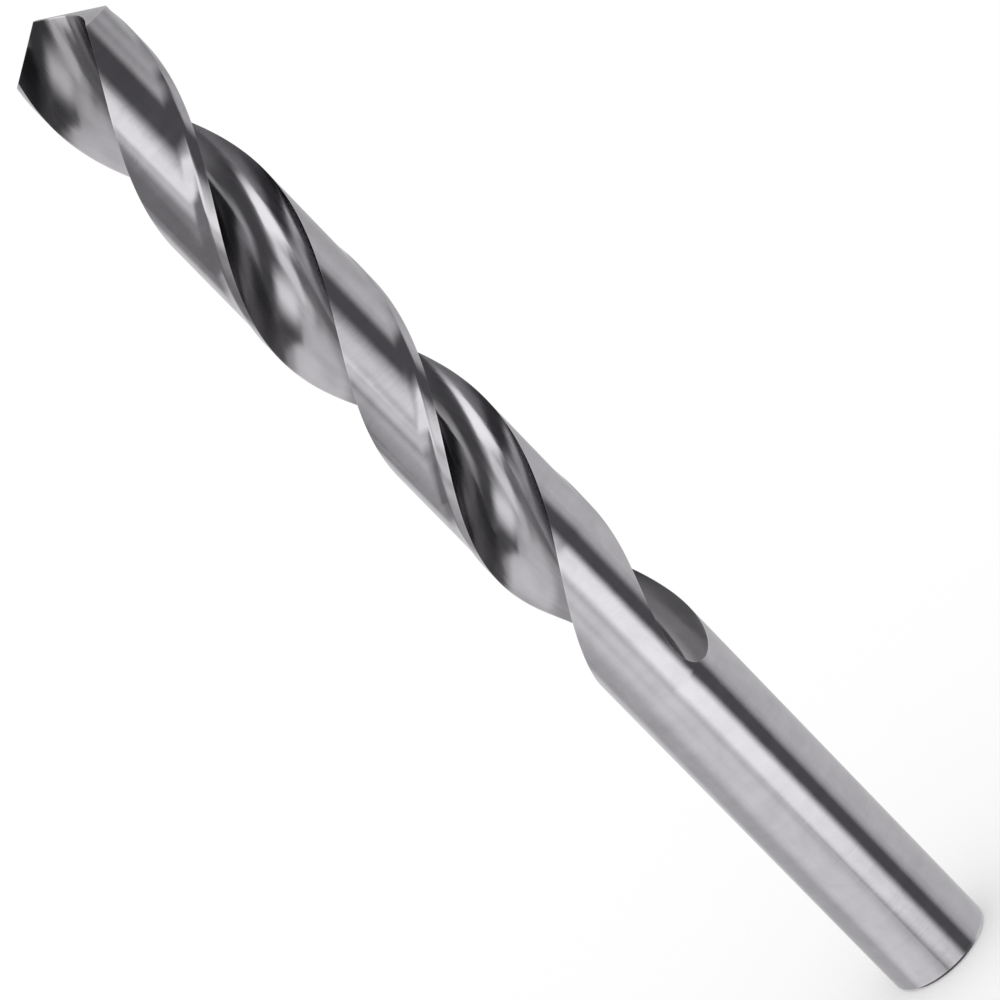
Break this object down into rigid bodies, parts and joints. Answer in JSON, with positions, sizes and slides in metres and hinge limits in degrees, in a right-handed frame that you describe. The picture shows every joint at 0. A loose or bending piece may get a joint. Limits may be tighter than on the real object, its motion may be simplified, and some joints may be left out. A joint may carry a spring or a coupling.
{
  "type": "twist drill bit",
  "caption": "Straight-shank twist drill bit with helical flutes, relieved lands, narrow margins and a 118 degree chisel point.",
  "frame": {"origin": "centre of the flat shank end, on which the drill stands", "axes": "+Z along the drill's axis from the shank end towards the point, -Y towards the viewer of the picture"},
  "size_m": [0.0174, 0.0174, 0.191],
  "materials": {
    "ground_steel": "bright ground high-speed steel, fine grinding lines"
  },
  "bodies": {
    "root": {"twist_drill_bit": "ground_steel"}
  },
  "joints": []
}
